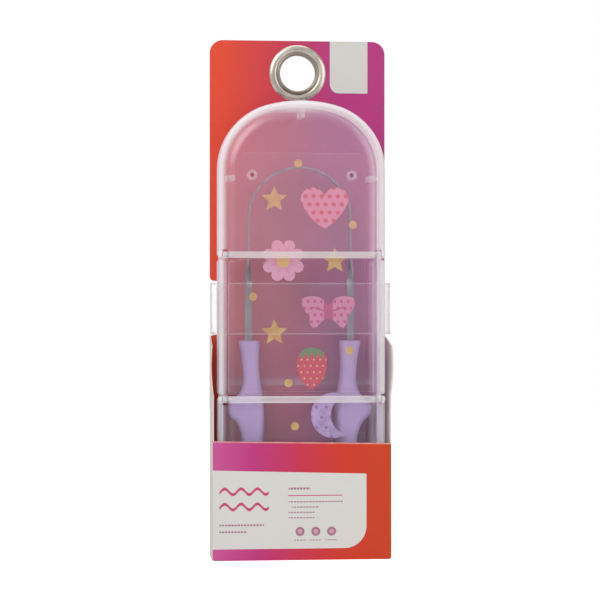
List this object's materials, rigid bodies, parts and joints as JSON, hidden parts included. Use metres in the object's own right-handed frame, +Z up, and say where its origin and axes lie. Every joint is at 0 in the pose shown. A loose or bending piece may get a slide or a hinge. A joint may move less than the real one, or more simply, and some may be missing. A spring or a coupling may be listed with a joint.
{
  "type": "tongue scraper in travel case",
  "caption": "U-shaped steel tongue scraper with winged handles in a frosted hinged travel case, held by a band and a folded sleeve on an eyeleted hang card.",
  "frame": {"origin": "centre of the eyelet's bore, on the front face of the hang card", "axes": "+X across the card to the right seen from the front, +Y through the eyelet to the back of the card, +Z up along the card; the front faces -Y"},
  "size_m": [0.0764, 0.0211, 0.2177],
  "materials": {
    "printed_card": "satin print fading from orange-red to magenta, pale uncoated back",
    "eyelet_metal": "nickel plate, lightly worn",
    "clear_film": "clear polyester film",
    "frosted_plastic": "frosted polypropylene, satin",
    "hinge_pin": "drawn wire",
    "sticker_pink": "gloss-printed vinyl",
    "sticker_red": "gloss-printed vinyl",
    "sticker_lilac": "gloss-printed vinyl",
    "sticker_gold": "gloss-printed vinyl",
    "scraper_steel": "polished stainless strip",
    "handle_plastic": "lavender moulding, satin"
  },
  "bodies": {
    "card": {"back_card": "printed_card", "sleeve_front": "printed_card", "sleeve_left": "printed_card", "sleeve_right": "printed_card", "sleeve_floor": "printed_card", "eyelet": "eyelet_metal", "eyelet_washer": "eyelet_metal", "clear_band": "clear_film"},
    "case": {"case_tray": "frosted_plastic", "mid_cover": "frosted_plastic", "lower_lid": "frosted_plastic", "upper_hinge_pins": "hinge_pin", "lower_hinge_pins": "hinge_pin", "sticker_sheet": "clear_film", "heart_sticker": "sticker_pink", "daisy_sticker": "sticker_pink", "bow_sticker": "sticker_pink", "strawberry_sticker": "sticker_red", "moon_sticker": "sticker_lilac", "star_stickers": "sticker_gold", "dot_stickers": "sticker_gold"},
    "lid": {"upper_lid": "frosted_plastic"},
    "scraper": {"scraper_band": "scraper_steel", "handle_left": "handle_plastic", "handle_right": "handle_plastic"}
  },
  "joints": [
    {"name": "case_slide", "type": "slide", "parent": "card", "child": "case", "axis": [0, 0, 1], "range_m": [0, 0.11]},
    {"name": "lid_hinge", "type": "hinge", "parent": "case", "child": "lid", "pos_m": [0, -0.0174, -0.0773], "axis": [1, 0, 0], "range_deg": [0, 105]},
    {"name": "scraper_slide", "type": "slide", "parent": "case", "child": "scraper", "axis": [0, 0, 1], "range_m": [0, 0.019]}
  ]
}
